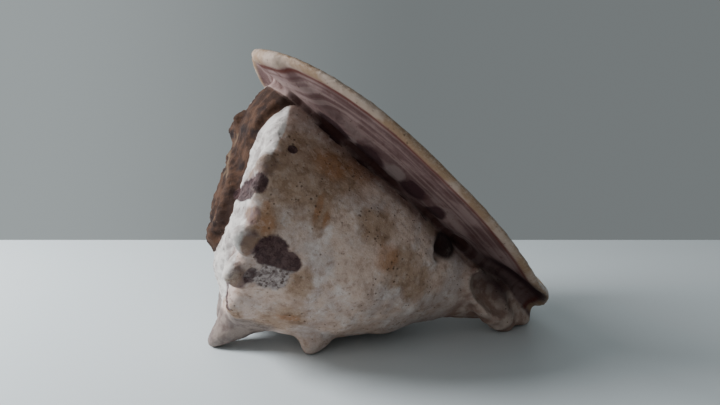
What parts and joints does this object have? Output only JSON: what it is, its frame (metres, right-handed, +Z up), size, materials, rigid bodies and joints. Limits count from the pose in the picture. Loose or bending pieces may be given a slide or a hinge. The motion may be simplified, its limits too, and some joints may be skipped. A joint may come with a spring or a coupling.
{
  "type": "helmet shell",
  "caption": "Old helmet shell with a low knobbed spire, a dished shield round a long toothed mouth and a short bent canal; rests on its knobs as a display piece.",
  "frame": {"origin": "centre of the bounding box in plan, on the surface the shell rests on", "axes": "+Z up; +X towards the canal end; -Y towards the shield's free left edge; the mouth faces +X and +Z"},
  "size_m": [0.176, 0.1482, 0.1448],
  "materials": {
    "shell": "chalky, stained"
  },
  "bodies": {
    "root": {"shell": "shell"}
  },
  "joints": []
}
